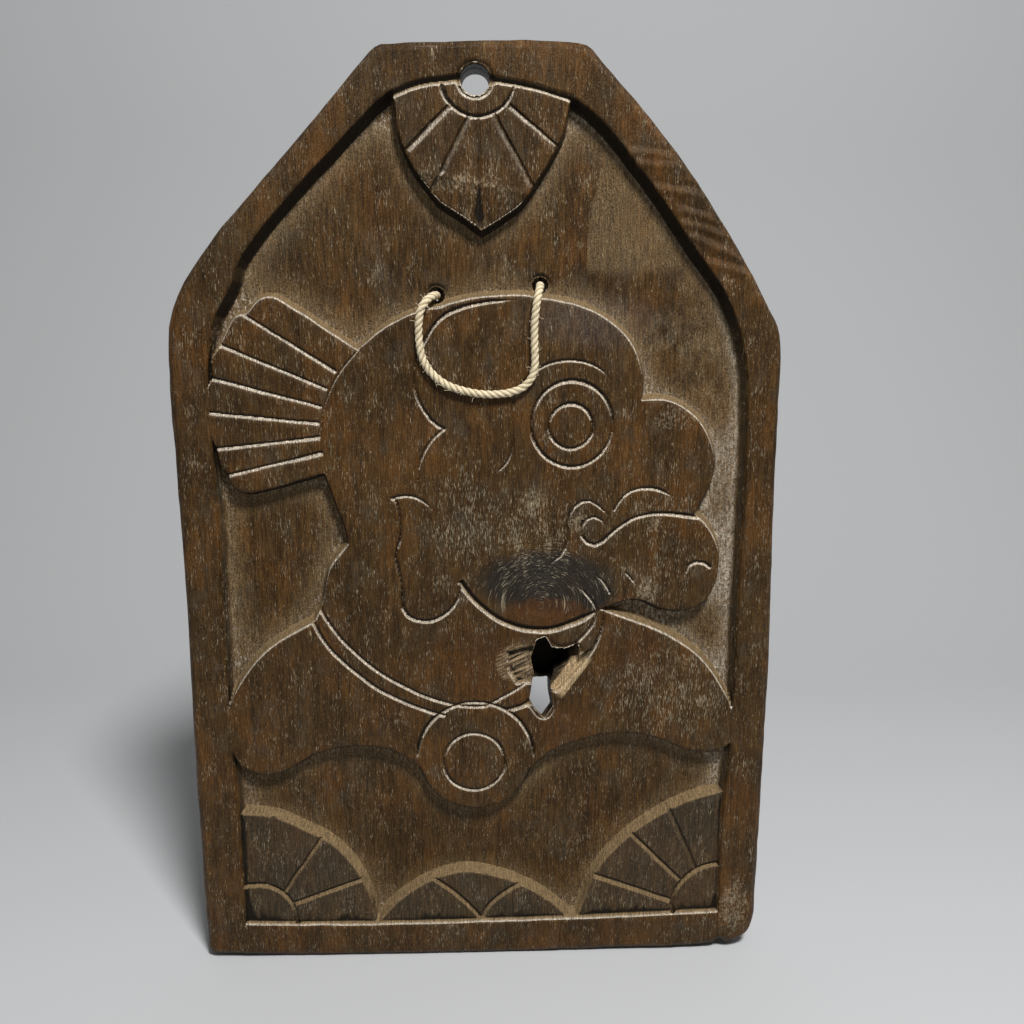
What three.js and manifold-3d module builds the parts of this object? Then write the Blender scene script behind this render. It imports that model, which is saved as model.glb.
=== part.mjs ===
// A carved wooden holder panel for a sheathed dagger: one thick teak plank with a raised border, a head
// in profile standing in a sunk ground, and a loop of string through two small holes.
// Millimetres. The drawing plane is the panel seen from the front: x to the right, y up, z out of the
// wood towards the viewer. Its zero is the middle of the hanging hole, on the plank's flat back.
// Outlines and cuts are measured from there. The finished group is turned so that z points up.
import * as THREE from "three";
import { mergeVertices } from "three/addons/utils/BufferGeometryUtils.js";
import Module from "manifold-3d";

// Driving dimensions
const THICKNESS = 28; // plank, back to front
const GROUND_DEPTH = 9; // how far the ground is cut below the front
const GROUND_SLOPE = 4; // how far the border's inner wall leans in over that depth
const FIGURE_DROP = 0.4; // the figure and the shield are worn a little below the border
const CORNER_DROP = 3; // the corner fans and the low arch lie lower than the border
const FIGURE_SPREAD = 2.2; // how far the figure's walls spread on their way down to the ground
const FAN_SPREAD = 1.6; // the same for the steeper walls of the hair fan and the shield
const CORNER_SPREAD = 2.5; // the same for the corner fans and the arch
const EDGE_ROUND = 2.5; // rounding of the plank's front and back edges
const HANGING_HOLE = 14.5; // diameter
const STRING_HOLE = 8.4; // diameter
const STRING = 4.2; // diameter of the string
const KNOT = 10; // diameter of the knots that hold the string behind the panel
const KNOT_POCKET = { diameter: 15, depth: 11 }; // countersink for a knot, cut into the back
const CLEARANCE = 0.4; // gap between the string and the wood

const FINE_CUT = 3.2; // width of the figure's incised lines
const CHIN_CUT = 5; // width of the line under the chin
const TOP_CUT = 5.2; // width of the line between the shield and the border
const FEATHER_CUT = 3.6; // width of the lines between the hair fan's feathers
const SHIELD_CUT = 4.2; // width of the shield's rays
const CHISEL_STEEP = 0.5; // chiselled lines drop over this width on their upper side
const CHISEL_DEPTH = 1.4; // depth of the chiselled lines in the hair fan, the shield and the corners
const FADE = 0.8; // how far a fading cut rises out of the surface, as a part of its depth
const PAST = 1; // how far a cutting solid runs past the face it cuts

const FRONT = THICKNESS;
const GROUND = FRONT - GROUND_DEPTH;
const FIGURE_TOP = FRONT - FIGURE_DROP;
const CORNER_TOP = FRONT - CORNER_DROP;

const wasm = await Module();
wasm.setup();

// Solids

function solidOf(geometry) {
  const bare = geometry.clone();
  bare.deleteAttribute("normal");
  bare.deleteAttribute("uv");
  const merged = mergeVertices(bare, 1e-4);
  return new wasm.Manifold(
    new wasm.Mesh({
      numProp: 3,
      vertProperties: merged.attributes.position.array,
      triVerts: new Uint32Array(merged.index.array),
    }),
  );
}

function geometryOf(solid) {
  const mesh = solid.getMesh();
  return new THREE.BufferGeometry()
    .setAttribute("position", new THREE.BufferAttribute(mesh.vertProperties, 3))
    .setIndex(new THREE.BufferAttribute(mesh.triVerts, 1))
    .toNonIndexed();
}

function join(solids) {
  return solids.reduce((whole, next) => whole.add(next));
}

// Outlines: a list of stretches after the starting point. A stretch of one point is a straight line,
// a stretch of several is one smooth curve through them.
function outline(start, ...stretches) {
  const shape = new THREE.Shape();
  shape.moveTo(...start);
  for (const stretch of stretches) {
    if (stretch.length === 1) shape.lineTo(...stretch[0]);
    else shape.splineThru(stretch.map(([x, y]) => new THREE.Vector2(x, y)));
  }
  return shape;
}

// A plate between two heights. The faces at both heights have the given outline, moved in by inset,
// and the outline grows by flare within the depth lean from each face.
function plate(shape, low, high, { flare = 0, lean = 1, inset = 0, detail = 3, rounds = 1 } = {}) {
  const bevelled = flare > 0;
  const geometry = new THREE.ExtrudeGeometry(shape, {
    depth: bevelled ? high - low - 2 * lean : high - low,
    curveSegments: detail,
    bevelEnabled: bevelled,
    bevelThickness: lean,
    bevelSize: flare,
    bevelOffset: -inset,
    bevelSegments: rounds,
  });
  geometry.translate(0, 0, bevelled ? low + lean : low);
  return solidOf(geometry);
}

// A round hole along z
function bore(x, y, diameter, low, high, sides = 24) {
  const geometry = new THREE.CylinderGeometry(diameter / 2, diameter / 2, high - low, sides);
  geometry.rotateX(Math.PI / 2);
  geometry.translate(x, y, (low + high) / 2);
  return solidOf(geometry);
}

// V-cuts: a square section on its corner, swept along a path that lies in the surface, so that its
// lower half cuts a V of the given width with walls at 45 degrees.
const vSection = (width) => {
  const half = width / 2;
  return new THREE.Shape([
    new THREE.Vector2(half, 0),
    new THREE.Vector2(0, half),
    new THREE.Vector2(-half, 0),
    new THREE.Vector2(0, -half),
  ]);
};

// A cut through the given points. It runs out to nothing at the ends that fade names.
function cut(points, width, { surface = FIGURE_TOP, fade = "", pace = 5 } = {}) {
  const last = points.length - 1;
  const rise = (i) => {
    const fades = (i === 0 && fade.includes("start")) || (i === last && fade.includes("end"));
    return fades ? FADE * (width / 2) : 0;
  };
  const path = new THREE.CatmullRomCurve3(
    points.map(([x, y], i) => new THREE.Vector3(x, y, surface + rise(i))),
  );
  const straight = points.length === 2;
  return solidOf(
    new THREE.ExtrudeGeometry(vSection(width), {
      steps: straight ? 1 : Math.ceil(path.getLength() / pace),
      extrudePath: straight ? new THREE.LineCurve3(path.points[0], path.points[1]) : path,
    }),
  );
}

// A straight line cut with a chisel: steep on its upper side, and a long slope up to its lower side
function chiselCut(from, to, width, surface = FIGURE_TOP) {
  const start = new THREE.Vector3(...from, surface);
  const end = new THREE.Vector3(...to, surface);
  const upperSide = Math.sign(end.x - start.x);
  const section = new THREE.Shape([
    new THREE.Vector2(0, width / 2),
    new THREE.Vector2(-width / 2, 0),
    new THREE.Vector2(0, -width / 2),
    new THREE.Vector2(CHISEL_DEPTH, upperSide * (width / 2 - CHISEL_STEEP)),
  ]);
  const path = new THREE.LineCurve3(start, end);
  return solidOf(new THREE.ExtrudeGeometry(section, { steps: 1, extrudePath: path }));
}

// A closed round cut
function ringCut(x, y, radius, width, { stretch = 1, surface = FIGURE_TOP } = {}) {
  const sides = Math.ceil((2 * Math.PI * radius) / 4);
  const geometry = new THREE.TorusGeometry(radius, width / 2, 4, sides);
  geometry.scale(1, stretch, 1);
  geometry.translate(x, y, surface);
  return solidOf(geometry);
}

// Points along an arc, angles in degrees
function arc(x, y, radius, from, to, count) {
  return Array.from({ length: count }, (_, i) => {
    const angle = THREE.MathUtils.degToRad(from + ((to - from) * i) / (count - 1));
    return [x + radius * Math.cos(angle), y + radius * Math.sin(angle)];
  });
}

// The point at an angle, in degrees, and a distance from a centre
function polar([x, y], angle, radius) {
  const a = THREE.MathUtils.degToRad(angle);
  return [x + radius * Math.cos(a), y + radius * Math.sin(a)];
}

// The plank: near-straight sides, a clipped gable with a narrow flat top, and a worn lower right corner
const plankOutline = outline(
  [-156, -481.5],
  [[-100, -483], [0, -483.5], [118, -482]],
  [[136, -480.5], [140.5, -477.5], [146, -479.5], [153, -477], [158.5, -472], [161, -460]],
  [[161.5, -400], [162, -314], [160.5, -222], [160, -137]],
  [[158, -122], [150, -106.5], [132, -76.5], [105, -38], [77, -6], [61, 11]],
  [[53, 17], [32, 18.5], [2.5, 18.5], [-30, 17.5], [-46, 16.5]],
  [[-54, 11], [-77, -15], [-114, -55], [-133, -76], [-151, -101], [-158, -120]],
  [[-159.5, -150], [-158.5, -270], [-159.5, -370], [-159, -478]],
);
const plank = plate(plankOutline, 0, FRONT, {
  flare: EDGE_ROUND,
  lean: EDGE_ROUND,
  inset: EDGE_ROUND,
  rounds: 2,
});

// The sunk ground inside the border
const groundOutline = outline(
  [-137, -462.3],
  [[-106, -463.5], [-58, -464], [-24, -463.8], [51.5, -462.6], [90, -461.5], [139.8, -459.9]],
  [[139.5, -400], [141, -375], [142.7, -345], [143, -290], [143.5, -225], [143.8, -180], [142.5, -146]],
  [[138.5, -126], [128, -101.5], [111, -79], [92, -52.5], [66, -21.5], [50, -8.5]],
  [[35, -3.8], [20.5, -0.6], [0, 1.5], [-18.5, 0.6], [-30, -1.4], [-42, -5]],
  [[-54, -15], [-78, -39], [-106, -68], [-120, -86], [-125, -98.5], [-134, -114]],
  [[-138.5, -130], [-140.5, -160], [-139, -215], [-139.6, -284], [-139, -340], [-137, -400]],
);
const groundPocket = plate(groundOutline, GROUND, FRONT + GROUND_DEPTH + PAST, {
  flare: GROUND_SLOPE,
  lean: GROUND_DEPTH,
  inset: GROUND_SLOPE,
});

// What stands in the ground. Each block has its outline at its top, and its walls spread by spread
// before they meet the ground.
function standing(shape, top, spread) {
  const height = top - GROUND;
  return plate(shape, GROUND - height - PAST, top, { flare: spread, lean: height });
}

// The round medallion that hangs from the collar, in line with the shoulders. Its edge line runs just
// inside its edge.
const MEDAL = { centre: [-2.4, -359], edgeLine: 32.8, edge: 31.2, ring: 17.2 };

// Head, shoulders and medallion in one, from the hair fan's upper end clockwise
const figureOutline = outline(
  [-61, -131.5],
  [[-42.4, -117.6], [-13.6, -108], [13.6, -104], [37, -106], [60, -112], [78.5, -126], [86, -143],
    [85.8, -158.8]],
  [[92.5, -158.1], [99.5, -158.4], [108.5, -162], [119, -171.2], [126, -187], [125.2, -202],
    [116.3, -220.2]],
  [[121.5, -223.8], [127.5, -232.3], [131, -244], [129.5, -258], [124, -269], [113, -274], [100, -272.8],
    [86, -267.3], [64.8, -273]],
  [[76.4, -276.5], [98, -285], [118.6, -297.5], [133, -314.7], [142, -334], [142.2, -351], [134, -358]],
  [[118.7, -356.7], [97.4, -348], [76.4, -345.6], [55.6, -349.8], [40.6, -355.9], [29, -366]],
  arc(...MEDAL.centre, MEDAL.edge, -12, -168, 9),
  [[-46, -355.6], [-60, -352.4], [-75, -352.2], [-92, -356], [-107, -364.5], [-121, -368.4], [-133, -363.5]],
  [[-138.5, -350], [-138.5, -330], [-129, -309.7], [-113, -292.3], [-89.3, -278.5]],
  [[-84.7, -268], [-81, -252], [-77.3, -244], [-69.8, -235.3]],
  [[-71, -227], [-77, -209], [-82, -190], [-81, -169.5], [-74, -148]],
);

// The hair fan: seven feathers spread from a round root behind the head, each ending in its own tip
const FAN = {
  centre: [-30, -174],
  root: 53.5,
  lines: [
    { rootAngle: 145, tipAngle: 146.3, reach: 108.5 },
    { rootAngle: 156, tipAngle: 156.5, reach: 113 },
    { rootAngle: 166.6, tipAngle: 165.7, reach: 111.5 },
    { rootAngle: 176, tipAngle: 175.1, reach: 110.5 },
    { rootAngle: 184.1, tipAngle: 185.1, reach: 108.5 },
    { rootAngle: 192.9, tipAngle: 193.2, reach: 107 },
  ],
};
const fanOutline = outline(
  [-58, -136],
  [[-61.5, -132.4], [-78.7, -120.6], [-97, -108.6]],
  [[-104, -105.2], [-111, -106.4], [-117.4, -113.5]],
  [[-124.3, -115.7], [-131.9, -129.5]],
  [[-136, -137], [-137, -146.8]],
  [[-140.2, -155.5], [-140, -165]],
  [[-140, -173.5], [-136.6, -183.6]],
  [[-135, -191], [-131.8, -197.5]],
  [[-129.6, -203.7], [-123, -206.9], [-114, -205.8]],
  [[-97, -201.2], [-82, -196.7], [-72, -194]],
);

// The shield below the hanging hole. Its top runs into the border.
const SHIELD = { centre: [1.2, 1], half: 18.5 };
const shieldOutline = outline(
  [-40.2, 4],
  [[-40.4, -9]],
  [[-38.5, -22.5], [-34.4, -35.4], [-26.5, -48.5], [-18.5, -58.6]],
  [[-5, -67.3], [3, -72.8]],
  [[14, -66], [23.5, -58.3], [34, -43], [42.5, -27.5], [46.8, -10]],
  [[47, 2]],
);

// Corner fans: a quarter disc in each lower corner, cut by three spokes and a round hub
const CORNER_FANS = [
  {
    rim: [[-137, -393.1], [-118, -395], [-101.2, -403.1], [-85.5, -412.3], [-74.5, -425.2], [-66.8, -440.5],
      [-61.3, -461]],
    corner: [-150, -475],
    spokes: [
      { from: [-122.6, -440], to: [-115.9, -388], width: 3.6 },
      { from: [-113.3, -442.5], to: [-83, -397.5], width: 2.8 },
      { from: [-108, -450.3], to: [-62, -433], width: 3 },
    ],
    hub: [[-142, -439.5], [-133.7, -438], [-123.3, -437.9], [-114.6, -443], [-108.9, -451], [-106.3, -464]],
  },
  {
    rim: [[140.3, -383.2], [120.6, -388.6], [104.2, -397], [88.5, -408.2], [76.1, -420.7], [66.6, -434.5],
      [61.9, -448], [56, -463]],
    corner: [150, -475],
    spokes: [
      { from: [125.4, -433], to: [105, -386], width: 3.4 },
      { from: [116.6, -440], to: [81, -403], width: 3.2 },
      { from: [113, -453.4], to: [57, -432.2], width: 3.6 },
    ],
    hub: [[146, -428.6], [138, -429], [126.8, -432.3], [117, -441], [112.5, -452], [113.8, -464]],
  },
];
const cornerOutlines = CORNER_FANS.map(({ rim, corner: [x, y] }) =>
  outline([x, y], [[x, rim[0][1]]], [rim[0]], rim.slice(1), [[rim.at(-1)[0], y]]),
);
// The low arch between them
const archOutline = outline(
  [-59.5, -475],
  [[-59.5, -463]],
  [[-46.3, -448.3], [-30.7, -437.6], [-15.1, -432], [-4, -431.6], [10.9, -435.1], [27.2, -442.4],
    [42.1, -452.9], [51.5, -463]],
  [[51.5, -475]],
);

const standingWork = join([
  standing(figureOutline, FIGURE_TOP, FIGURE_SPREAD),
  standing(fanOutline, FIGURE_TOP, FAN_SPREAD),
  standing(shieldOutline, FIGURE_TOP, FAN_SPREAD),
  ...cornerOutlines.map((shape) => standing(shape, CORNER_TOP, CORNER_SPREAD)),
  standing(archOutline, CORNER_TOP, CORNER_SPREAD),
]);

// Incised lines
const fanCuts = [
  cut([[-60.5, -131], [-72, -144.3], [-79.6, -160.5], [-82.4, -176], [-82.6, -192]], 2.2, { fade: "end" }),
  ...FAN.lines.map(({ rootAngle, tipAngle, reach }) =>
    chiselCut(
      polar(FAN.centre, rootAngle, FAN.root - PAST),
      polar(FAN.centre, tipAngle, reach),
      FEATHER_CUT,
    ),
  ),
];

const shieldCuts = [
  cut([[-41.5, -7.6], [-30, -3], [-18, -0.8], [0, 0.2], [20.5, -2], [35, -5.4], [48.5, -9.6]], TOP_CUT, {
    surface: FRONT,
  }),
  cut(arc(...SHIELD.centre, SHIELD.half, 184, 356, 11), FINE_CUT),
  chiselCut([-12.4, -12.8], [-38.4, -38], SHIELD_CUT),
  chiselCut([-2.4, -17.2], [-22.9, -56], SHIELD_CUT),
  cut([[1.5, -17.4], [1.5, -78]], FINE_CUT),
  chiselCut([8.2, -16], [30.6, -55.5], SHIELD_CUT),
  chiselCut([16.2, -12.3], [43, -34.3], SHIELD_CUT),
];

const eyeCuts = [
  ringCut(49.8, -170.8, 21.6, FINE_CUT, { stretch: 1.06 }),
  ringCut(49.2, -172, 11.7, FINE_CUT, { stretch: 1.02 }),
  cut(
    [[72, -149.3], [61, -140], [48.3, -137.2], [37, -139.2], [27, -145.5], [19.4, -157], [18.3, -170],
      [17.8, -184], [14, -193], [8.2, -198]],
    2.6,
    { fade: "start end" },
  ),
];

const hairCuts = [
  cut([[21.2, -106.3], [5.4, -107.5], [-8, -110.3], [-18.2, -115.3], [-27, -127], [-32.3, -139],
    [-32.8, -151], [-28.4, -162.5], [-22.5, -170.3], [-16.5, -173.6]], FINE_CUT, { fade: "start" }),
  cut([[-17.4, -172.8], [-24, -178.8], [-29, -186.5], [-32, -196], [-32.3, -208]], 2.8, { fade: "end" }),
];

const earCuts = [
  cut([[-46.5, -211], [-40, -208.7], [-32, -210], [-23, -217.5]], FINE_CUT, { fade: "end" }),
  cut([[-44.4, -209.5], [-42, -219], [-41.8, -230], [-44.8, -241.5], [-42.8, -252], [-41.2, -262],
    [-41.8, -270], [-37.5, -276.6], [-28, -279], [-19, -275.5], [-12.5, -268.5], [-9.2, -256.5]], FINE_CUT),
];

const mouthCuts = [
  cut([[56.5, -222.5], [55, -229], [58.5, -235], [64.5, -236.4], [70.5, -231.3], [76.5, -226.2],
    [84, -221.7], [95, -219.4], [107, -219.9], [119, -221.5]], 3.4),
  cut([[73, -218], [77, -211.2], [83.5, -206.6], [92, -205.4], [98, -206.7], [104.5, -210.5]], FINE_CUT, {
    fade: "end",
  }),
  cut([[37, -248], [44.5, -242.5], [47.8, -236], [48, -226], [50.5, -217], [55.5, -212.6], [61, -212.4],
    [66, -216.5], [71.5, -220.5]], 2.8, { fade: "start end" }),
  cut([[56, -231], [56.3, -224.5], [60.5, -221], [66, -222.3], [68.5, -227]], 2.8, { fade: "end" }),
  cut([[113.2, -258], [112.9, -251], [116, -247.2], [122, -246.8], [127, -250]], 3, { fade: "start" }),
  cut([[62.5, -252], [67.8, -256.5], [71.3, -262], [72.6, -267]], 2.4, { fade: "start end" }),
  cut([[77.4, -250.4], [82.8, -255], [87.4, -261]], 2.4, { fade: "start end" }),
  cut([[53, -259], [58.5, -263.7], [62.5, -268.8], [65, -274]], 2.6, { fade: "start" }),
];

const chinCut = cut(
  [[-10, -256], [-5, -263.8], [2.6, -271.9], [11.2, -278.4], [21, -282.6], [31, -284.4], [41, -283.9],
    [50, -281.1], [58, -277.5], [66, -273.2]],
  CHIN_CUT,
  { fade: "end" },
);

// The collar: a narrow band round the neck, drawn by two lines
const collarCuts = [
  cut([[-87.5, -268], [-82, -279], [-74.8, -289.3], [-66, -298.4], [-56.8, -306.8], [-46, -313.9],
    [-32, -321.5], [-18.5, -326.4], [-8, -328.8], [4, -328.8]], FINE_CUT),
  cut([[-91, -276.5], [-84.5, -290], [-75.9, -300.6], [-65.3, -310.5], [-55.4, -318.3], [-43, -325],
    [-30, -330.6], [-19, -334]], FINE_CUT),
  cut([[3, -329], [15.4, -322], [24.3, -316.2], [33, -309.5]], FINE_CUT),
  cut([[15, -331.5], [23.2, -328.9], [30, -325.6], [37, -321]], 4.2),
  cut([[65, -272.5], [62.2, -281.8], [57.7, -288], [53, -293]], 2.8),
  cut([[69, -274], [67, -286.2], [63, -296], [57.5, -304.5], [49.6, -313.7], [42, -320.9]], 3),
];

const medalCuts = [
  cut(arc(...MEDAL.centre, MEDAL.edgeLine, -4, 184, 17), 3.4, { fade: "start end" }),
  ringCut(-3.1, -362, MEDAL.ring, FINE_CUT),
];

const cornerCuts = CORNER_FANS.flatMap(({ spokes, hub }) => [
  cut(hub, 3.4, { surface: CORNER_TOP }),
  ...spokes.map(({ from, to, width }) => chiselCut(from, to, width, CORNER_TOP)),
]);
const archCuts = [
  cut([[-30, -433.5], [-20.9, -440.2], [-14.5, -445.2], [-9.6, -450], [-4.8, -455.2], [0.5, -462]], 3.2, {
    surface: CORNER_TOP,
  }),
  cut([[0.5, -461], [3.6, -454.6], [10.9, -447.4], [16.6, -443.3], [25, -438]], 3.2, {
    surface: CORNER_TOP,
  }),
];

const incisedLines = join([
  ...fanCuts,
  ...shieldCuts,
  ...eyeCuts,
  ...hairCuts,
  ...earCuts,
  ...mouthCuts,
  chinCut,
  ...collarCuts,
  ...medalCuts,
  ...cornerCuts,
  ...archCuts,
]);

// The old break under the chin: a rotted knot, open right through low down where the branch slanted
// down to the back, and flaked wood on both sides of it
const BREAK = { blindDepth: 24, slotDrop: 9, leftFlake: 3, rightFlake: 5 };
const rottedKnot = plate(
  outline([32, -290.5], [[36.6, -288.5]], [[40, -294.8]], [[47.6, -295.8]], [[54.6, -293]], [[55.5, -300]],
    [[49.4, -304.6]], [[41.5, -309.2]], [[40, -316]], [[30, -316]], [[30.4, -309.9]], [[28.8, -301.8]]),
  FRONT - BREAK.blindDepth,
  FRONT + PAST,
);
const slotGeometry = new THREE.ExtrudeGeometry(
  outline([29.8, -312], [[39.4, -312]], [[39.9, -321.5]], [[41.2, -328.9]], [[36.2, -336.5]],
    [[31.4, -331]], [[28, -324.3]]),
  { depth: THICKNESS + 2 * PAST, bevelEnabled: false },
);
slotGeometry.translate(0, 0, -PAST);
const slotSlope = BREAK.slotDrop / THICKNESS;
slotGeometry.applyMatrix4(
  new THREE.Matrix4().set(1, 0, 0, 0, 0, 1, slotSlope, -FRONT * slotSlope, 0, 0, 1, 0, 0, 0, 0, 1),
);
const leftFlake = plate(
  outline([14, -296], [[30, -293]], [[33, -304]], [[31, -316]], [[20, -317.5]], [[14.5, -308]]),
  FRONT - BREAK.leftFlake,
  FRONT + BREAK.leftFlake + PAST,
  { flare: 3, lean: BREAK.leftFlake, inset: 3 },
);
const rightFlake = plate(
  outline([50, -304], [[58, -298]], [[62.5, -294.5]], [[57, -305]], [[49, -314]], [[43.5, -320]],
    [[39, -318]], [[40, -309]]),
  FRONT - BREAK.rightFlake,
  FRONT + PAST,
);
const brokenWood = join([rottedKnot, solidOf(slotGeometry), leftFlake, rightFlake]);

// Holes for the nail and the string, with room behind for the string's knots
const LEFT_HOLE = [-20.9, -104.3];
const RIGHT_HOLE = [33.1, -99.3];
const holes = join([
  bore(0, 0, HANGING_HOLE, -PAST, FRONT + PAST, 32),
  ...[LEFT_HOLE, RIGHT_HOLE].flatMap(([x, y]) => [
    bore(x, y, STRING_HOLE, -PAST, FRONT + PAST),
    bore(x, y, KNOT_POCKET.diameter, -PAST, KNOT_POCKET.depth),
  ]),
]);

const panelSolid = plank
  .subtract(groundPocket.subtract(standingWork))
  .subtract(incisedLines)
  .subtract(brokenWood)
  .subtract(holes);

// The string: from the knot behind the left hole, out at the front, down over the forehead in a loop,
// and back through the right hole to its other knot
const STRING_LIES = FIGURE_TOP + STRING / 2 + CLEARANCE; // height of its middle where it lies on the figure
const KNOT_HEIGHT = 5.8; // height of the knots' middles, inside the countersinks
const [leftX, leftY] = LEFT_HOLE;
const [rightX, rightY] = RIGHT_HOLE;
const STRING_ROUTE = [
  [leftX, leftY, KNOT_HEIGHT],
  [leftX, leftY, 12],
  [leftX, leftY, 17.2],
  [leftX - 0.5, leftY + 0.1, 21.8],
  [leftX - 2.2, leftY - 0.4, 26.2],
  [leftX - 5.1, leftY - 2.7, STRING_LIES - 0.2],
  [leftX - 7.4, leftY - 6.6, STRING_LIES + 1.3],
  [-29.5, -115.8, STRING_LIES + 1.1],
  [-29.9, -122.4, STRING_LIES + 0.3],
  [-29.3, -130.8, STRING_LIES],
  [-27.6, -137.2, STRING_LIES],
  [-23.4, -143.7, STRING_LIES],
  [-15.8, -149.6, STRING_LIES],
  [-5.8, -153, STRING_LIES],
  [4.6, -154.6, STRING_LIES],
  [15.1, -154, STRING_LIES],
  [22.7, -151.6, STRING_LIES],
  [27.3, -147.6, STRING_LIES],
  [29.5, -142.6, STRING_LIES],
  [30, -136.8, STRING_LIES],
  [29.7, -128.3, STRING_LIES + 0.1],
  [29.6, -119.8, STRING_LIES + 0.7],
  [rightX - 3, rightY - 13.3, STRING_LIES + 1.4],
  [rightX - 2.2, rightY - 7.5, STRING_LIES + 1],
  [rightX - 1.2, rightY - 3.3, STRING_LIES - 1.5],
  [rightX - 0.4, rightY - 1, 24.6],
  [rightX, rightY, 19.8],
  [rightX, rightY, 13],
  [rightX, rightY, KNOT_HEIGHT],
];

function stringSolid() {
  const route = new THREE.CatmullRomCurve3(STRING_ROUTE.map((point) => new THREE.Vector3(...point)));
  const section = new THREE.Shape().absarc(0, 0, STRING / 2, 0, 2 * Math.PI);
  const tube = solidOf(
    new THREE.ExtrudeGeometry(section, { steps: 48, curveSegments: 4, extrudePath: route }),
  );
  const knots = [LEFT_HOLE, RIGHT_HOLE].map(([x, y]) => {
    const ball = new THREE.SphereGeometry(KNOT / 2, 10, 7);
    ball.translate(x, y, KNOT_HEIGHT);
    return solidOf(ball);
  });
  return join([tube, ...knots]);
}

// The object

const waxedTeak = new THREE.MeshStandardMaterial({ color: 0x4a3520, roughness: 0.5, metalness: 0 });
const twistedCotton = new THREE.MeshStandardMaterial({ color: 0xd9c8a0, roughness: 0.9, metalness: 0 });

const holderPanel = new THREE.Group();
holderPanel.rotation.x = Math.PI / 2;

const panelMesh = new THREE.Mesh(geometryOf(panelSolid), waxedTeak);
panelMesh.name = "carved_panel";
holderPanel.add(panelMesh);

const stringMesh = new THREE.Mesh(geometryOf(stringSolid()), twistedCotton);
stringMesh.name = "cord";
holderPanel.add(stringMesh);

export default holderPanel;
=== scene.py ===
# A carved teak panel with a head in profile, and the loop of cotton string that carries a sheathed
# dagger. Metres, in the panel's own frame: x to the right, z up and y out of its back into the wall. Zero
# is the middle of the hanging hole on the back. Places on the carving are (x, z) in millimetres.
import math

import bmesh
import bpy
import numpy as np
from mathutils import Matrix, Vector


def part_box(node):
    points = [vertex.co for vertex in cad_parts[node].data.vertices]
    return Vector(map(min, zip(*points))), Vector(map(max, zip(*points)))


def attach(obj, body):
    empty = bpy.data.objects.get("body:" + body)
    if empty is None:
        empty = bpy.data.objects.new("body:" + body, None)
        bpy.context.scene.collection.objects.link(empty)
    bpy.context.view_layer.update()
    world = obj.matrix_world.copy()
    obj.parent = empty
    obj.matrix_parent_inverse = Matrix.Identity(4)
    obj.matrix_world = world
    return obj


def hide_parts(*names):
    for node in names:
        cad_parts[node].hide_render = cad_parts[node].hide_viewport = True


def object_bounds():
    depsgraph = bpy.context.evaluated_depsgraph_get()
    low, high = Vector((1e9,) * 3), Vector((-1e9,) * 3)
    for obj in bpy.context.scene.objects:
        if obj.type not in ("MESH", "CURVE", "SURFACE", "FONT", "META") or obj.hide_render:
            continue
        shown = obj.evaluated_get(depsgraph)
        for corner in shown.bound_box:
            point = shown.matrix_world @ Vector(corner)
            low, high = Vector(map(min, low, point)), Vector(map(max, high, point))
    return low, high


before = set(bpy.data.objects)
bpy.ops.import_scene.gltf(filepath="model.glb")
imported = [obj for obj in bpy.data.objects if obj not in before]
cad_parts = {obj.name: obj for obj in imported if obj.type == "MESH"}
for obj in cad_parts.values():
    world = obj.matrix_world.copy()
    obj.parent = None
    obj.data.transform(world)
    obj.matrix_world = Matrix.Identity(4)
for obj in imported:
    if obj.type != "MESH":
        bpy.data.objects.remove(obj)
cad_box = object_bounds()
MM = 0.001

# The view: from a little over half a metre in front of the board, at the height of the forehead, turned
# slightly to the right and tipped down so that the whole board from gable to foot fills the picture.
VIEW_FROM = (0.0009, -0.5775, -0.1004)
VIEW_DOWN = math.radians(12.05)
VIEW_RIGHT = math.radians(1.8)
SENSOR_WIDTH = 36
VIEW_ANGLE = math.radians(52)

camera = bpy.data.objects.new("camera", bpy.data.cameras.new("camera"))
camera.data.sensor_width = SENSOR_WIDTH
camera.data.lens = SENSOR_WIDTH / 2 / math.tan(VIEW_ANGLE / 2)
camera.location = VIEW_FROM
camera.rotation_euler = (math.pi / 2 - VIEW_DOWN, 0, -VIEW_RIGHT)
bpy.context.collection.objects.link(camera)
bpy.context.scene.camera = camera

# The carved panel: one thick board of old teak. The ground round the figure was cut down with a gouge,
# the lines with a chisel, and the whole was rubbed with wax. Since then its edges have worn, dust has
# settled in every hollow, and a knot under the chin has rotted and broken out.
VOXEL = 0.56 * MM
PANEL_TRIANGLES = 194_000
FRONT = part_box("carved_panel")[0].y
GROUND = FRONT + 9 * MM


def copy_of(node):
    """A node's mesh with its loose triangles joined"""
    shape = bmesh.new()
    shape.from_mesh(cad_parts[node].data)
    bmesh.ops.remove_doubles(shape, verts=shape.verts, dist=1e-6)
    return shape


def piece_of(shape, name):
    """The finished shape as a piece of its own"""
    mesh = bpy.data.meshes.new(name)
    shape.to_mesh(mesh)
    shape.free()
    mesh.polygons.foreach_set("use_smooth", [True] * len(mesh.polygons))
    piece = bpy.data.objects.new(name, mesh)
    bpy.context.collection.objects.link(piece)
    return piece


def settle(piece):
    """Makes the piece's modifiers part of its mesh"""
    seen = piece.evaluated_get(bpy.context.evaluated_depsgraph_get())
    piece.data = bpy.data.meshes.new_from_object(seen)
    piece.modifiers.clear()
    piece.data.name = piece.name


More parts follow.
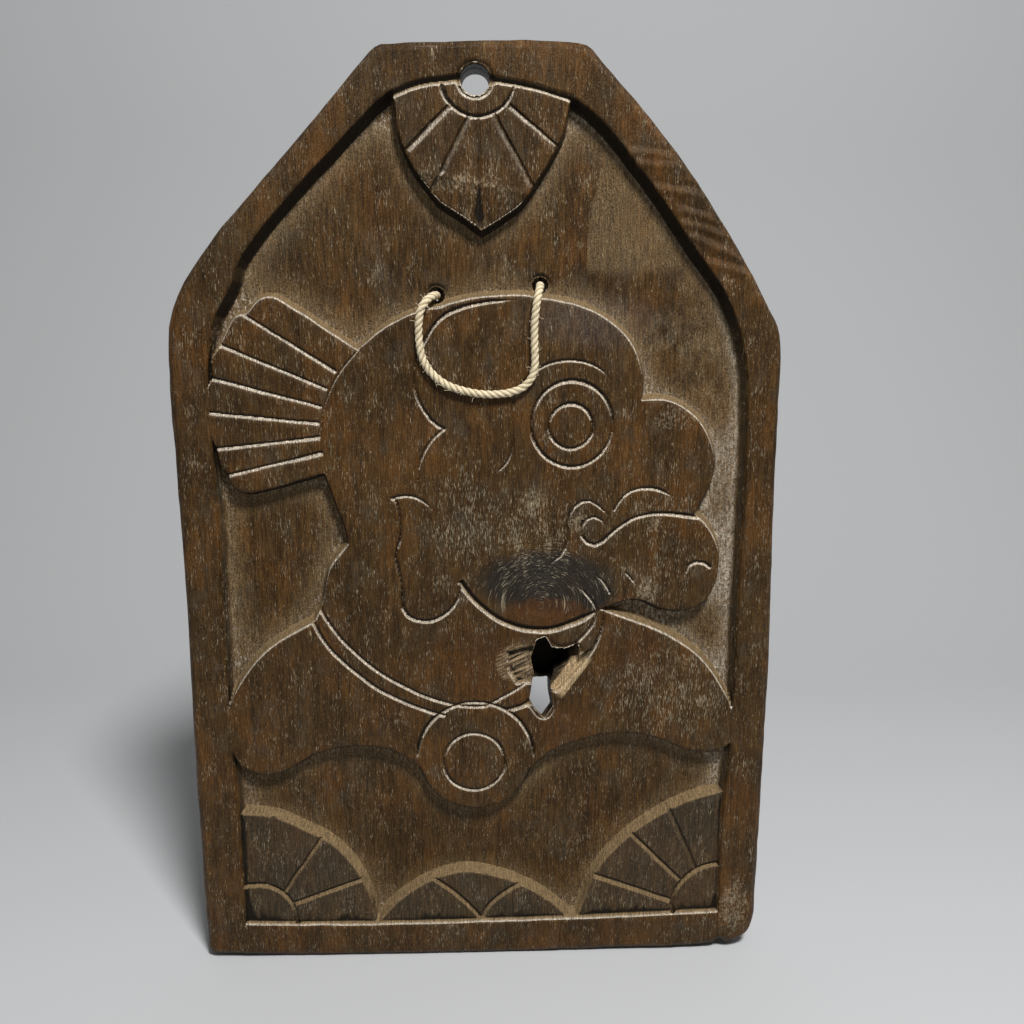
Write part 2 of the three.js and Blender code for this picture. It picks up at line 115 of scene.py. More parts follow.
def unevenness(points, size, seed):
    """Smooth bumps between -1 and 1 at the points. size is a bump's size in millimetres along x, y, z."""
    place = points / (np.array(size) * MM)
    corner = np.floor(place).astype(int)
    corner -= corner.min(axis=0)
    part = place - np.floor(place)
    part = part * part * (3 - 2 * part)
    heights = np.random.default_rng(seed).uniform(-1, 1, corner.max(axis=0) + 2)
    total = np.zeros(len(points))
    for step in np.ndindex(2, 2, 2):
        share = np.prod(np.where(np.array(step) == 1, part, 1 - part), axis=1)
        total += share * heights[tuple((corner + step).T)]
    return total


def stroke(points, start, end, width):
    """A gouge's stroke from start to end: 1 along its middle, fading to 0 at its sides"""
    here = points[:, [0, 2]] / MM
    start, along = np.array(start), np.array(end) - np.array(start)
    share = np.clip((here - start) @ along / (along @ along), 0, 1)
    apart = np.linalg.norm(here - start - share[:, None] * along, axis=1)
    return np.exp(-((2 * apart / width) ** 2))


def spot(points, centre, size):
    """A soft round patch: 1 in its middle, fading to 0. size is its half width and half height."""
    here = (points[:, [0, 2]] / MM - centre) / size
    return np.exp(-(here**2).sum(axis=1))


def turned(points, angle):
    """The points turned in the plane of the board"""
    c, s = math.cos(math.radians(angle)), math.sin(math.radians(angle))
    return points @ np.array([[c, 0, -s], [0, 1, 0], [s, 0, c]])


class Relief:
    """How far back the front surface lies, on a grid of 1 mm, to tell hollows from edges"""

    CELL = 1 * MM
    MARGIN = 30

    def __init__(self, points):
        self.corner = points[:, [0, 2]].min(axis=0) - self.MARGIN * self.CELL
        cells = np.round((points[:, [0, 2]] - self.corner) / self.CELL).astype(int)
        self.depth = np.zeros(cells.max(axis=0) + self.MARGIN)
        np.minimum.at(self.depth, (cells[:, 0], cells[:, 1]), points[:, 1])

    def around(self, points, width):
        """The mean depth round each point, within about width millimetres"""
        reach = np.arange(-3 * width, 3 * width + 1)
        weights = np.exp(-((reach / width) ** 2) / 2)
        weights /= weights.sum()
        depth = self.depth
        for axis in (0, 1):
            depth = np.apply_along_axis(np.convolve, axis, depth, weights, "same")
        place = (points[:, [0, 2]] - self.corner) / self.CELL
        low = np.clip(np.floor(place).astype(int), 0, np.array(depth.shape) - 2)
        part = place - low
        total = np.zeros(len(points))
        for step in np.ndindex(2, 2):
            share = np.prod(np.where(np.array(step) == 1, part, 1 - part), axis=1)
            total += share * depth[tuple((low + step).T)]
        return total


def points_of(mesh):
    points = np.empty(len(mesh.vertices) * 3)
    mesh.vertices.foreach_get("co", points)
    return points.reshape(-1, 3)


def normals_of(mesh):
    normals = np.empty(len(mesh.vertices) * 3)
    mesh.vertex_normals.foreach_get("vector", normals)
    return normals.reshape(-1, 3)


panel = piece_of(copy_of("carved_panel"), "panel")
remesh = panel.modifiers.new("even", "REMESH")
remesh.mode = "VOXEL"
remesh.voxel_size = VOXEL
smooth = panel.modifiers.new("rubbed", "SMOOTH")
smooth.iterations = 1
settle(panel)

# Waves left by the gouge across the right border's slope. Each has a crest, and a furrow above it.
BORDER_WAVES = [
    ((79, -34.3), (102, -37.1)),
    ((82, -39.7), (105, -41)),
    ((93, -51.9), (116, -54.8)),
    ((105, -62.3), (124.5, -68.2)),
    ((107, -69), (129, -75)),
    ((110, -75.1), (136, -86.4)),
    ((121, -88.7), (141, -94.1)),
]
WAVE = 0.75 * MM
WAVE_WIDTH = 4.5
FURROW_ABOVE = 3.6
# The shield's lower part was pared away, and slopes back towards its tip from a crest right across it
SHIELD_CREST = [((-30, -43), (-14, -46.2)), ((-15, -46.6), (26, -54.4))]
SHIELD_SLOPE = 0.085
SHIELD_MIDDLE = 2
SHIELD_HALF_WIDTH = 36
SHIELD_TIP = -76 * MM
CREST_HEIGHT = 0.35 * MM
CREST_WIDTH = 3
# Torn fibres beside the rotted knot run up to the right at this angle
TEAR_ANGLE = 24
TEARS = [
    ((21, -305), (9, 10), 0.9 * MM),
    ((52, -309), (8, 9), 0.3 * MM),
    ((20, -325), (9, 5), 0.35 * MM),
]
TORN_FIBRE = (6, 4, 1.3)
EDGE_WEAR = 0.3  # how much of a sharp edge has worn away
EDGE_RELIEF = (0.5 * MM, 3 * MM)  # an edge stands out by this much before it wears, and at most
HANGING_HOLE = 7.25  # radius in millimetres
WORN_RIM = 3.5
RIM_WEAR = 0.9 * MM
UNSTEADY_HAND = 0.28 * MM  # how far the carved lines wander to either side

points = points_of(panel.data)
normals = normals_of(panel.data)
relief = Relief(points)
wander = [UNSTEADY_HAND * unevenness(points, (8, 60, 8), seed) for seed in (11, 12)]
points[:, 0] += wander[0]
points[:, 2] += wander[1]
front = np.clip(-normals[:, 1] * 2, 0, 1)
back = np.clip(normals[:, 1] * 2, 0, 1)
ground = np.clip((points[:, 1] - FRONT) / MM / 3 - 2, 0, 1) * front
everywhere = 1

# The hand-cut surface: slow waves and small facets all over, gouge marks on the ground and long saw
# marks on the back. Each is a height, a size and where it is.
MARKS = [
    (0.30 * MM, (38, 60, 70), everywhere),
    (0.14 * MM, (13, 30, 26), everywhere),
    (0.05 * MM, (4, 9, 16), everywhere),
    (0.16 * MM, (7, 20, 15), ground),
    (0.40 * MM, (22, 60, 90), back),
    (0.12 * MM, (3, 9, 60), back),
]
raised = np.zeros(len(points))
for seed, (tallest, size, where) in enumerate(MARKS, start=1):
    raised += tallest * where * unevenness(points, size, seed)
for start, end in BORDER_WAVES:
    above = [(x, z + FURROW_ABOVE) for x, z in (start, end)]
    raised += WAVE * front * stroke(points, start, end, WAVE_WIDTH)
    raised -= WAVE * front * stroke(points, *above, WAVE_WIDTH)
on_shield = np.clip((GROUND - 3 * MM - points[:, 1]) / MM, 0, 1) * front
for start, end in SHIELD_CREST:
    raised += CREST_HEIGHT * on_shield * stroke(points, start, end, CREST_WIDTH)
crest_start, crest_end = SHIELD_CREST[1]
crest_fall = (crest_end[1] - crest_start[1]) / (crest_end[0] - crest_start[0])
below_crest = crest_start[1] + (points[:, 0] / MM - crest_start[0]) * crest_fall - points[:, 2] / MM
in_shield = np.abs(points[:, 0] / MM - SHIELD_MIDDLE) < SHIELD_HALF_WIDTH
pared = np.clip(below_crest, 0, 24) * (points[:, 2] > SHIELD_TIP) * in_shield
raised -= SHIELD_SLOPE * MM * pared * on_shield
torn_fibres = unevenness(turned(points, TEAR_ANGLE), TORN_FIBRE, 7)
for centre, size, tallest in TEARS:
    raised += tallest * front * spot(points, centre, size) * torn_fibres
from_hole = np.hypot(points[:, 0], points[:, 2]) / MM - HANGING_HOLE
raised -= RIM_WEAR * front * np.clip(1 - from_hole / WORN_RIM, 0, 1) ** 2
spared, most_relief = EDGE_RELIEF
edge = np.clip(relief.around(points, 2) - points[:, 1] - spared, 0, most_relief - spared)
raised -= EDGE_WEAR * edge * front
points += raised[:, None] * normals
panel.data.vertices.foreach_set("co", points.ravel())
panel.data.update()

decimate = panel.modifiers.new("fewer", "DECIMATE")
decimate.ratio = min(1, PANEL_TRIANGLES / (2 * len(panel.data.polygons)))
settle(panel)

# How much lower each place lies than what is around it, for the dust: widely, and close by
points = points_of(panel.data)
for name, width in (("hollow", 9), ("cut", 2.5)):
    attribute = panel.data.attributes.new(name, "FLOAT", "POINT")
    attribute.data.foreach_set("value", (points[:, 1] - relief.around(points, width)) / MM)


class Finish:
    """A material, made node by node. node() adds one: first its settings, then its sockets' values."""

    def __init__(self, name, **uniform):
        self.material = bpy.data.materials.new(name)
        self.material.use_nodes = True
        self.nodes = self.material.node_tree.nodes
        self.links = self.material.node_tree.links
        self.shader = self.nodes["Principled BSDF"]
        for socket, value in uniform.items():
            self.shader.inputs[socket.replace("_", " ")].default_value = value

    def node(self, kind, settings=None, sockets=None, output=0):
        made = self.nodes.new("ShaderNode" + kind)
        for name, value in (settings or {}).items():
            setattr(made, name, value)
        for name, value in (sockets or {}).items():
            self.join(value, made.inputs[name])
        return Value(self, made.outputs[output])

    def join(self, value, socket):
        if isinstance(value, Value):
            self.links.new(value.socket, socket)
        elif socket.type == "RGBA":
            socket.default_value = (*value, 1)
        else:
            socket.default_value = value

    def set(self, socket, value):
        self.join(value, self.shader.inputs[socket])

    def coordinates(self):
        """Object coordinates in millimetres"""
        place = self.node("TexCoord", output=3)
        return self.node("VectorMath", {"operation": "SCALE"}, {0: place, "Scale": 1 / MM})

    def parts(self, vector):
        return [self.node("SeparateXYZ", None, {0: vector}, output) for output in range(3)]

    def vector(self, x, y, z):
        return self.node("CombineXYZ", None, {0: x, 1: y, 2: z})

    def noise(self, place, size, detail=2, roughness=0.5):
        """Noise between 0 and 1 whose bumps have that size along x, y and z"""
        scaled = self.node("VectorMath", {"operation": "DIVIDE"}, {0: place, 1: size})
        sockets = {"Vector": scaled, "Scale": 1, "Detail": detail, "Roughness": roughness}
        return self.node("TexNoise", None, sockets)

    def blend(self, share, first, second):
        """first where share is 0, second where it is 1"""
        return self.node("Mix", {"data_type": "RGBA"}, {0: share, 6: first, 7: second}, output=2)

    def bump(self, height, distance):
        return self.node("Bump", None, {"Height": height, "Distance": distance, "Strength": 1})


class Value:
    """The output of a node. Sums on values add nodes."""

    def __init__(self, finish, socket):
        self.finish = finish
        self.socket = socket

    def sum(self, operation, first, second=0.0, clamp=False):
        settings = {"operation": operation, "use_clamp": clamp}
        return self.finish.node("Math", settings, {0: first, 1: second})

    def __add__(self, other):
        return self.sum("ADD", self, other)

    def __sub__(self, other):
        return self.sum("SUBTRACT", self, other)

    def __mul__(self, other):
        return self.sum("MULTIPLY", self, other)

    def __truediv__(self, other):
        return self.sum("DIVIDE", self, other)

    def __neg__(self):
        return self.sum("MULTIPLY", self, -1)

    def __rsub__(self, other):
        return self.sum("SUBTRACT", other, self)

    __radd__ = __add__
    __rmul__ = __mul__

    def clamp(self):
        return self.sum("ADD", self, 0, clamp=True)

    def larger(self, other):
        return self.sum("MAXIMUM", self, other)

    def root(self):
        return self.sum("SQRT", self)

    def rise(self, low, high):
        """0 below low, 1 above high and a smooth rise between. With low above high, it falls."""
        if low > high:
            return 1 - self.rise(high, low)
        settings = {"interpolation_type": "SMOOTHSTEP"}
        return self.finish.node("MapRange", settings, {0: self, 1: low, 2: high})


teak = Finish("waxed_teak", Specular_IOR_Level=0.2, Specular_Tint=(1, 0.92, 0.82, 1))
place = teak.coordinates()
across, depth, height = teak.parts(place)
facing = teak.parts(teak.node("NewGeometry", output=1))
hollow = teak.node("Attribute", {"attribute_name": "hollow"}, output=2)
cut = teak.node("Attribute", {"attribute_name": "cut"}, output=2)


def patch(centre, size, soft=1):
    """1 in the middle of an oval patch, 0 outside it. size is its half width and half height."""
    here_x = (across - centre[0]) / size[0]
    here_z = (height - centre[1]) / size[1]
    return (here_x * here_x + here_z * here_z).rise(1, 1 - soft)


def band(start, end, width, soft=1):
    """1 along a straight band, fading at its sides, and 0 past its ends. width is half its width."""
    along = Vector(end) - Vector(start)
    long, aim = along.length, along.normalized()
    here_x, here_z = across - start[0], height - start[1]
    share = here_x * aim.x + here_z * aim.y
    apart = (here_z * aim.x - here_x * aim.y) / width
    return (apart * apart).rise(1, 1 - soft) * share.rise(0, width) * share.rise(long, long - width)


def most(masks):
    """The strongest of several masks"""
    whole = masks[0]
    for mask in masks[1:]:
        whole = whole.larger(mask)
    return whole


def patches(places):
    """The strongest of several oval patches, each a centre, a size and a strength"""
    return most([patch(centre, size) * strength for centre, size, strength in places])


# Where it is: on the sunk ground, or inside the board's outer sides. The front is at depth -28, the
# ground at -19 and the back at 0.
in_ground = depth.rise(-22.5, -20) * depth.rise(-15, -17)
inner = (depth - hollow).rise(-17, -18.2)

# The grain runs straight up the board, and bends over the knot in flat arcs
WOOD_KNOT = (33.5, -270)
KNOT_REACH = 50
KNOT_FLATNESS = 1.12
broad = teak.noise(place, (30, 30, 60), detail=3, roughness=0.6)
knot_x = (across - WOOD_KNOT[0]) / KNOT_FLATNESS
knot_z = height - WOOD_KNOT[1]
from_knot = (knot_x * knot_x + knot_z * knot_z).root() + broad * 7
near_knot = from_knot.rise(KNOT_REACH, KNOT_REACH * 0.5) * knot_z.rise(-14, 2)
round_knot = teak.vector(from_knot, depth, across * 0.12)
streaks = teak.noise(place, (2.4, 8, 46), detail=4, roughness=0.62)
streaks = streaks + (teak.noise(round_knot, (2.2, 6, 2), detail=3) - streaks) * near_knot * 0.7
lines = teak.noise(place, (0.7, 4, 9), detail=3, roughness=0.65)
rings = teak.noise(round_knot, (0.9, 6, 1), detail=3, roughness=0.65)
lines = (lines + (rings - lines) * near_knot).rise(0.3, 0.7)
mottle = teak.noise(place, (5, 5, 9), detail=5, roughness=0.72)
grains = teak.noise(place, (0.6, 0.6, 0.9), detail=2, roughness=0.7).rise(0.28, 0.72)
crowded = teak.noise(place, (9, 9, 17), detail=3, roughness=0.7)

# The wood: dark brown heartwood with warm and greyish areas
DARK_BROWN = (0.017, 0.0080, 0.0020)
BROWN = (0.072, 0.037, 0.0105)
ORANGE = (0.112, 0.044, 0.0080)
GREY = (0.058, 0.048, 0.032)
tone = (broad * 0.8 + streaks * 0.9 + mottle * 0.8 - 1.25).rise(-0.35, 0.4) * 0.7 + lines * 0.3
wood = teak.blend(tone, DARK_BROWN, BROWN)
warmth = teak.noise(place, (20, 20, 36), detail=2).rise(0.42, 0.7) * streaks.rise(0.2, 0.65)
wood = teak.blend(warmth * 0.5, wood, ORANGE)
greyness = teak.noise(place, (13, 13, 20), detail=4, roughness=0.7).rise(0.48, 0.75)
wood = teak.blend(greyness * 0.55, wood, GREY)

# Discoloured wood: black and red round the knot, grey on the corner fans, the sides and the back, and
# an old water stain with a sharp edge on the ground at the upper right
BLUE_BLACK = (0.010, 0.0105, 0.0095)
RED_BROWN = (0.062, 0.024, 0.006)
GREY_BROWN = (0.040, 0.034, 0.023)
ragged = mottle * 2.4 + lines * 0.25 + rings * 0.4 - 1.55
bruise = patches([((36, -256), (46, 20), 1), ((52, -264), (30, 14), 1)])
blackness = (bruise * 1.6 + ragged * 0.7).clamp() * bruise.rise(0, 0.25)
wood = teak.blend(blackness * 0.85, wood, BLUE_BLACK)
heart = patch((37, -274), (28, 10))
redness = (heart * 1.4 + ragged * 0.8).clamp() * heart.rise(0, 0.3)
wood = teak.blend(redness * 0.7, wood, RED_BROWN)
reddened = patches([((2, -302), (18, 28), 1), ((42, -342), (24, 20), 1), ((90, -300), (18, 26), 1)])
redness = (reddened + ragged * 0.7).clamp() * reddened.rise(0, 0.3)
wood = teak.blend(redness * 0.5, wood, RED_BROWN)
set_back = depth.rise(-25.8, -25.2) * (1 - in_ground)
wood = teak.blend(set_back * 0.5, wood, GREY_BROWN)
STAIN_FOOT = -88
from_foot = height - STAIN_FOOT
stain_edge = 56 + from_foot * from_foot / 310 + mottle * 3
stain = in_ground * (across - stain_edge).rise(-0.6, 0.6) * height.rise(-96, -88)
russet = patch((90, -104), (18, 12), 0.4) * in_ground

# Dust: pale in the open pores, thick where it settles. The black of painted shade and the colour of a
# painted sheen are set here too.
PORE_DUST = (0.36, 0.30, 0.20)
GROUND_DUST = (0.185, 0.125, 0.062)
DUST = (0.56, 0.50, 0.41)
PAINTED_SHADE_BLACK = (0.004, 0.003, 0.002)
PAINTED_SHEEN = (0.17, 0.155, 0.15)
pores = teak.noise(place, (0.38, 1.5, 2.6), detail=2, roughness=0.5)
arcs = teak.noise(teak.vector(from_knot, depth, across), (0.45, 1.5, 2.4), detail=2, roughness=0.5)
pores = pores + (arcs - pores) * near_knot
FLECKED = [
    ((105, -318), (46, 34), 1),
    ((27, -232), (44, 30), 1),
    ((-10, -225), (20, 50), 1),
    ((100, -225), (28, 26), 0.6),
    ((85, -262), (40, 22), 0.7),
    ((0, -55), (34, 30), 0.4),
]
open_pores = (pores + crowded * 0.5 + patches(FLECKED) * 0.09).rise(0.86, 0.98)
wood = teak.blend(open_pores * 0.5, wood, PORE_DUST)
SCUFFED = [
    ((95, -225.5), (7, 6), 1),
    ((93, -262), (9, 12), 1),
    ((54, -224), (8, 8), 1),
    ((104, -168), (20, 10), 0.7),
    ((148, -455), (12, 26), 1),
    ((-5, -50), (34, 8), 0.8),
    ((28, -211), (12, 10), 0.8),
    ((20, -300), (18, 14), 0.7),
]
scuffed = patches(SCUFFED)
rubbed = teak.noise(place, (1.3, 1.3, 2.0), detail=4, roughness=0.75)
specks = (scuffed * 0.2 + rubbed).rise(0.62, 0.8) * scuffed.rise(0, 0.5)
wood = teak.blend(specks * 0.45, wood, PORE_DUST)
# A painted sheen: a pale bluish-grey reflection put into the colour over the brow
painted_sheen = patch((62, -117), (46, 18)) * (mottle + grains * 0.4 - 0.2).clamp()
wood = teak.blend(painted_sheen * 0.25, wood, PAINTED_SHEEN)

# On the ground the dust is a thin film, thicker at the foot of the walls and on the right. It lies pale
# on every wall and cut that faces up, with a painted highlight there, and painted shade blackens the
# ones that face down.
right_side = (across + height * 0.2 + 20).rise(0, 150)
film = (crowded + mottle * 0.5 + right_side * 0.62 - 1.0).rise(0.0, 0.6)
film = film.larger(stain * 0.7).larger(hollow.rise(0.2, 3.5) * 0.9)
film = (film * (0.35 + grains * 0.9)).clamp() * in_ground * (1 - russet * 0.85)
wood = teak.blend(film * 0.68, wood, GROUND_DUST)
waves = band((76, -28), (146, -104), 20, 0.3)
# Pale dust and a painted highlight on walls and cuts that face up, paler near the front edge where the
# painted highlight is brightest
upward_dust_and_highlight = facing[2].rise(0.1, 0.36) * depth.rise(-27.4, -27.0) * inner * (1 - waves)
painted_highlight_near_front = depth.rise(-25.4, -27.0)
settled_dust_and_highlight = teak.blend(painted_highlight_near_front * (0.35 + grains * 0.65), GROUND_DUST, DUST)
covered = (0.45 + grains * 0.35 + rubbed * 0.5).clamp()
piled = hollow.rise(2.2, 5.5) * in_ground * (rubbed + right_side * 0.12).rise(0.48, 0.68)
wood = teak.blend(piled * 0.55, wood, DUST)
wood = teak.blend(upward_dust_and_highlight * covered, wood, settled_dust_and_highlight)
# Painted shade: walls that face down and the bottoms of the cuts are painted near black
painted_shade_facing_down = (-facing[2]).rise(0.1, 0.45) * depth.rise(-27.5, -26.9) * inner
painted_shade_in_cuts = cut.rise(0.6, 1.1) * depth.rise(-23.5, -25) * (1 - upward_dust_and_highlight)

# The break: painted shade makes it black inside, with pale torn fibres to its left and a tan sloping face
# to its right
TORN = (0.30, 0.215, 0.125)
TAN = (0.42, 0.30, 0.165)
fibre_x = across * 0.91 + height * 0.41
fibre_z = height * 0.91 - across * 0.41
fibres = teak.noise(teak.vector(fibre_x, depth, fibre_z), (7, 3, 0.7), detail=4, roughness=0.7)
torn = patch((20.5, -304), (13, 13), 0.5)
tearing = (torn * 1.3 + ragged * 0.6).clamp() * torn * fibres.rise(0.42, 0.6)
wood = teak.blend(tearing * 0.85, wood, TORN)
sloping = band((60, -298), (42, -323), 4.6, 0.4)
wood = teak.blend(sloping * (0.3 + grains * 0.5 + fibres * 0.4).clamp(), wood, TAN)
# Painted shade: the deep inside of the break is painted black
inside = patch((42, -306), (18, 34), 0.2) * depth.rise(-24, -20.5)
# All the painted shade together, in a near-black colour, except on the tan sloping face
all_painted_shade = most([painted_shade_facing_down, painted_shade_in_cuts, inside]).clamp() * (1 - sloping)
wood = teak.blend(all_painted_shade * 0.93, wood, PAINTED_SHADE_BLACK)

# Fine streaks and grains, and the finish's own roughness and bumps
fine = 0.38 + lines * 0.66 + grains * 0.62
wood = teak.node("VectorMath", {"operation": "SCALE"}, {0: wood, "Scale": fine})
teak.set("Base Color", wood)
teak.set("Roughness", (0.26 + 0.5 * upward_dust_and_highlight + 0.3 * mottle + 0.3 * film).clamp())
rough = streaks * 0.7 + lines * 0.5 + mottle * 0.6 + grains * 0.3 + fibres * torn * 2 - open_pores * 0.2
teak.set("Normal", teak.bump(rough + film * 0.3, 0.5 * MM))
panel.data.materials.clear()
panel.data.materials.append(teak.material)
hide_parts("carved_panel")
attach(panel, "root")

# The string: one length of soft undyed cotton, three strands laid together. It comes out of the left
# hole, hangs down over the forehead in a loop and goes back in through the right hole. Its ends are
# knotted in two pockets in the board's back. The head carries it, so it lies against the wood.
STRING_DIAMETER = 4.2 * MM
STRING_ROUTE = [
    (-20.9, -104.3, 5.8),
    (-20.9, -104.3, 12),
    (-20.9, -104.3, 17.2),
    (-21.4, -104.2, 21.8),
    (-23.1, -104.7, 26.2),
    (-26, -107, 29.9),
    (-28.3, -110.9, 31.4),
    (-29.5, -115.8, 31.2),
    (-29.9, -122.4, 30.4),
    (-29.3, -130.8, 30.1),
    (-27.6, -137.2, 30.1),
    (-23.4, -143.7, 30.1),
    (-15.8, -149.6, 30.1),
    (-5.8, -153, 30.1),
    (4.6, -154.6, 30.1),
    (15.1, -154, 30.1),
    (22.7, -151.6, 30.1),
    (27.3, -147.6, 30.1),
    (29.5, -142.6, 30.1),
    (30, -136.8, 30.1),
    (29.7, -128.3, 30.2),
    (29.6, -119.8, 30.8),
    (30.1, -112.6, 31.5),
    (30.9, -106.8, 31.1),
    (31.9, -102.6, 28.6),
    (32.7, -100.3, 24.6),
    (33.1, -99.3, 19.8),
    (33.1, -99.3, 13),
    (33.1, -99.3, 5.8),
]
STEPS_BETWEEN = 14
STRANDS = 3
STRAND_RELIEF = 0.17  # share of the radius by which the strands stand out
TURN_LENGTH = 10.5 * MM  # the length in which they go once round
SIDES = 24


def smooth_line(route, steps):
    """Points along one smooth curve through the route's points"""
    ends = [2 * route[0] - route[1], *route, 2 * route[-1] - route[-2]]
    line = []
    for before, start, end, after in zip(ends, ends[1:], ends[2:], ends[3:]):
        for i in range(steps):
            t = i / steps
            bend = (2 * before - 5 * start + 4 * end - after) * t**2
            bend += (3 * start - before - 3 * end + after) * t**3
            line.append(start + ((end - before) * t + bend) / 2)
    return [*line, route[-1]]


def sweep(shape, line, radius, sides, turn_length=None):
    """Adds a rod along the line, closed at both ends: a circle drawn along it step by step. With a
    turn_length the rod has three strands that go once round in that length."""
    groove = shape.verts.layers.float.get("groove") or shape.verts.layers.float.new("groove")
    aim = (line[1] - line[0]).normalized()
    start = Matrix.Translation(line[0]) @ aim.to_track_quat("Z", "Y").to_matrix().to_4x4()
    circle = bmesh.ops.create_circle(shape, cap_ends=True, radius=radius, segments=sides, matrix=start)
    ring = circle["verts"]
    if turn_length:
        for i, vert in enumerate(ring):
            strand = math.cos(STRANDS * 2 * math.pi * i / sides)
            vert.co = line[0] + (vert.co - line[0]) * (1 + STRAND_RELIEF * (strand - 1) / 2)
            vert[groove] = (1 - strand) / 2
    edges = [edge for edge in shape.edges if edge.verts[0] in ring and edge.verts[1] in ring]
    for before, here, after in zip(line, line[1:], [*line[2:], 2 * line[-1] - line[-2]]):
        grown = bmesh.ops.extrude_edge_only(shape, edges=edges)["geom"]
        ring = [item for item in grown if isinstance(item, bmesh.types.BMVert)]
        new = set(ring)
        edges = [item for item in grown if isinstance(item, bmesh.types.BMEdge)]
        edges = [edge for edge in edges if set(edge.verts) <= new]
        new_aim = (after - before).normalized()
        angle = 2 * math.pi * (here - before).length / turn_length if turn_length else 0
        move = Matrix.Rotation(angle, 4, new_aim) @ aim.rotation_difference(new_aim).to_matrix().to_4x4()
        move = Matrix.Translation(here) @ move @ Matrix.Translation(-before)
        bmesh.ops.transform(shape, matrix=move, verts=ring)
        aim = new_aim
    bmesh.ops.contextual_create(shape, geom=edges)


string_line = smooth_line([Vector((x, -out, z)) * MM for x, z, out in STRING_ROUTE], STEPS_BETWEEN)
string_length = sum((b - a).length for a, b in zip(string_line, string_line[1:]))
string_shape = bmesh.new()
sweep(string_shape, string_line, STRING_DIAMETER / 2, SIDES, TURN_LENGTH)
string = piece_of(string_shape, "string")

# A simple overhand knot at each end, pulled tight. It is wider than the hole, so it can't slip through.
KNOT_SIZE = 1.55 * MM
KNOT_STEPS = 90
KNOT_SIDES = 14
KNOT_STRING = 1.7 * MM  # radius, as it is squeezed there
KNOT_TURN = 0.7 * TURN_LENGTH
KNOT_PART = 0.94  # of the closed figure; the rest is the gap beside the cut end
KNOT_START = 0.02
KNOT_THICKNESS = 1.1
knots_shape = bmesh.new()
for end in (string_line[0], string_line[-1]):
    figure = []
    for i in range(KNOT_STEPS + 1):
        t = 2 * math.pi * (KNOT_PART * i / KNOT_STEPS + KNOT_START)
        flat_x = math.sin(t) + 2 * math.sin(2 * t)
        flat_z = math.cos(t) - 2 * math.cos(2 * t)
        back_y = -math.sin(3 * t) * KNOT_THICKNESS
        figure.append(end + Vector((flat_x, back_y, flat_z)) * KNOT_SIZE)
    sweep(knots_shape, figure, KNOT_STRING, KNOT_SIDES, KNOT_TURN)
knots = piece_of(knots_shape, "string_knots")

# Loose fibres that stand out from the string, most of them in the two places where it is frayed
FUZZ_COUNT = 70
FRAYED = [(0.24, 0.05), (0.70, 0.05)]  # places along the string, as shares of its length
FIBRE = 0.09 * MM  # radius
FIBRE_SIDES = 5
FIBRE_STEP = 0.35 * MM
chance = np.random.default_rng(9)
fuzz_shape = bmesh.new()
for i in range(FUZZ_COUNT):
    if i % 3:
        share = chance.uniform(0.17, 0.83)
    else:
        share = chance.normal(*FRAYED[i // 3 % 2])
    at = int(share * (len(string_line) - 2))
    along = (string_line[at + 1] - string_line[at]).normalized() * chance.choice([-1, 1])
    out = along.cross(Vector(chance.normal(size=3))).normalized()
    out.y = -abs(out.y)
    curl = Vector(chance.normal(size=3)) * 0.7
    fibre = [string_line[at] + out * STRING_DIAMETER * 0.42]
    heading = out * 0.5 + along
    for _ in range(chance.integers(5, 12)):
        fibre.append(fibre[-1] + heading.normalized() * FIBRE_STEP)
        heading = heading + curl * 0.3 + out * 0.12
        heading.y = min(heading.y, 0.1)
    sweep(fuzz_shape, fibre, FIBRE, FIBRE_SIDES)
fuzz = piece_of(fuzz_shape, "string_fuzz")

COTTON = (0.70, 0.60, 0.41)
COTTON_SHADE_AND_SOIL = (0.27, 0.19, 0.10)
cotton = Finish("twisted_cotton", Specular_IOR_Level=0.15, Roughness=0.95)
cotton_place = cotton.coordinates()
groove = cotton.node("Attribute", {"attribute_name": "groove"}, output=2)
fluff = cotton.noise(cotton_place, (0.5, 0.5, 0.5), detail=4, roughness=0.75)
soiling = cotton.noise(cotton_place, (7, 7, 7), detail=3, roughness=0.6)
# Painted shade in the grooves between the strands, with fluff and real soiling
painted_shade_and_soiling = groove.rise(0.45, 1) * 0.75 + fluff.rise(0.55, 0.75) * 0.3 + soiling.rise(0.5, 0.8) * 0.3
cotton.set("Base Color", cotton.blend(painted_shade_and_soiling.clamp(), COTTON, COTTON_SHADE_AND_SOIL))
cotton.set("Normal", cotton.bump(fluff, 0.5 * MM))
for piece in (string, knots, fuzz):
    piece.data.materials.append(cotton.material)
    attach(piece, "root")
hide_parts("cord")

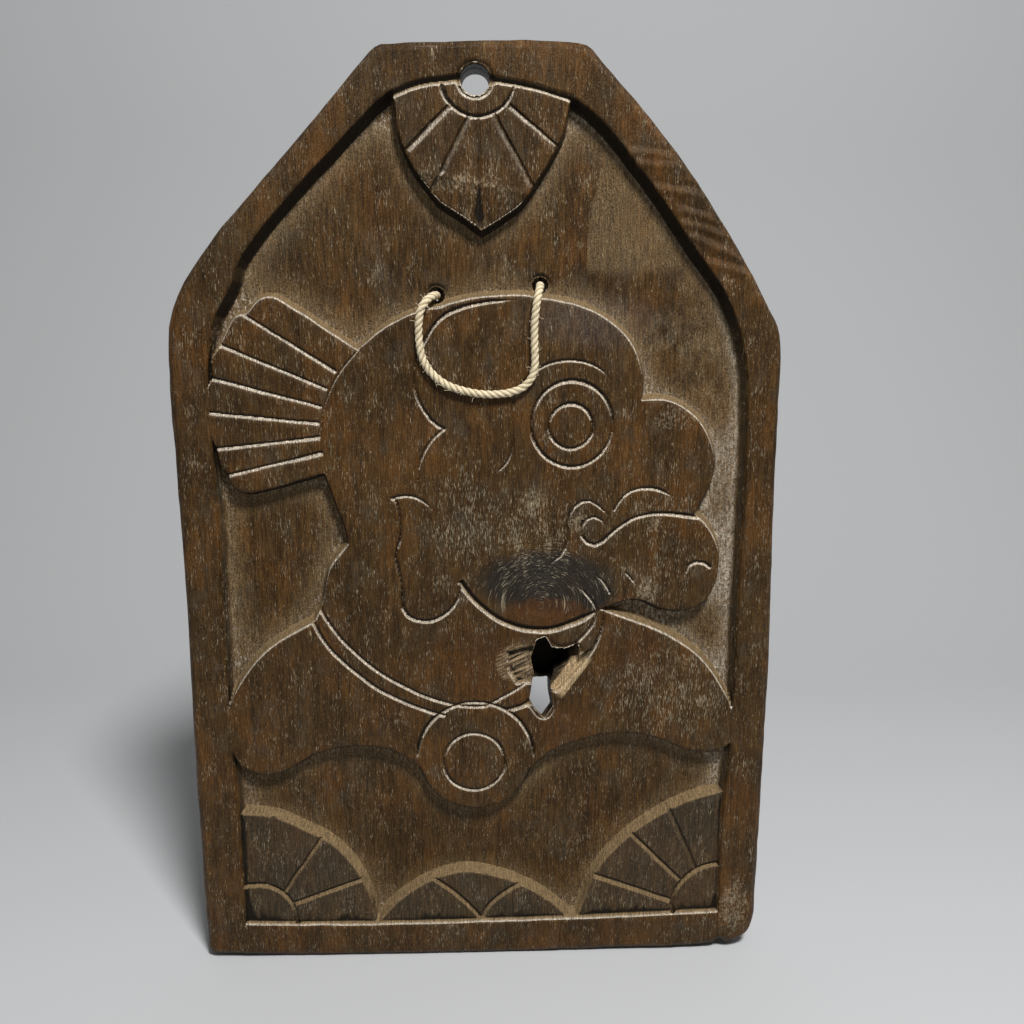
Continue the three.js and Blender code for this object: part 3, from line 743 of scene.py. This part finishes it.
# The studio: pale paper on the floor that curves up behind, one soft light above and a little to the
# right, and a weak even light all round.
FLOOR_Z = cad_box[0].z
PANEL_MIDDLE = (0, 0, -0.23)
KEY_PLACE = (0.33, -1.0, 1.12)
KEY_SIZE = 0.36
KEY_POWER = 44
FILL = 0.17
PAPER_WIDTH = 12
PAPER_FRONT = -4
PAPER_BACK = 0.4
PAPER_BEND = 0.6
PAPER_TOP = 5
BEND_STEPS = 16

paper_shape = bmesh.new()
bmesh.ops.create_grid(paper_shape, x_segments=1, y_segments=1, size=0.5)
bmesh.ops.transform(
    paper_shape,
    matrix=Matrix.Translation((0, (PAPER_FRONT + PAPER_BACK) / 2, FLOOR_Z))
    @ Matrix.Diagonal((PAPER_WIDTH, PAPER_BACK - PAPER_FRONT, 1, 1)),
    verts=paper_shape.verts,
)
far_edge = max(paper_shape.edges, key=lambda edge: sum(vert.co.y for vert in edge.verts))
bent = bmesh.ops.spin(
    paper_shape, geom=[far_edge], cent=(0, PAPER_BACK, FLOOR_Z + PAPER_BEND), axis=(1, 0, 0),
    angle=math.pi / 2, steps=BEND_STEPS,
)
top_edge = [item for item in bent["geom_last"] if isinstance(item, bmesh.types.BMEdge)]
raised_edge = bmesh.ops.extrude_edge_only(paper_shape, edges=top_edge)
bmesh.ops.translate(
    paper_shape, vec=(0, 0, PAPER_TOP),
    verts=[item for item in raised_edge["geom"] if isinstance(item, bmesh.types.BMVert)],
)
bmesh.ops.recalc_face_normals(paper_shape, faces=paper_shape.faces)
paper = piece_of(paper_shape, "paper")
pale_paper = Finish("pale_paper", Roughness=0.85)
pale_paper.set("Base Color", (0.46, 0.465, 0.47))
paper.data.materials.append(pale_paper.material)

key = bpy.data.objects.new("key_light", bpy.data.lights.new("key_light", "AREA"))
key.data.shape = "DISK"
key.data.size = KEY_SIZE
key.data.energy = KEY_POWER
key.location = KEY_PLACE
key.rotation_euler = (Vector(PANEL_MIDDLE) - key.location).to_track_quat("-Z", "Y").to_euler()
bpy.context.collection.objects.link(key)

world = bpy.data.worlds.new("studio")
bpy.context.scene.world = world
world.use_nodes = True
world.node_tree.nodes["Background"].inputs["Color"].default_value = (1, 1, 1, 1)
world.node_tree.nodes["Background"].inputs["Strength"].default_value = FILL
bpy.context.scene.view_settings.view_transform = "Standard"
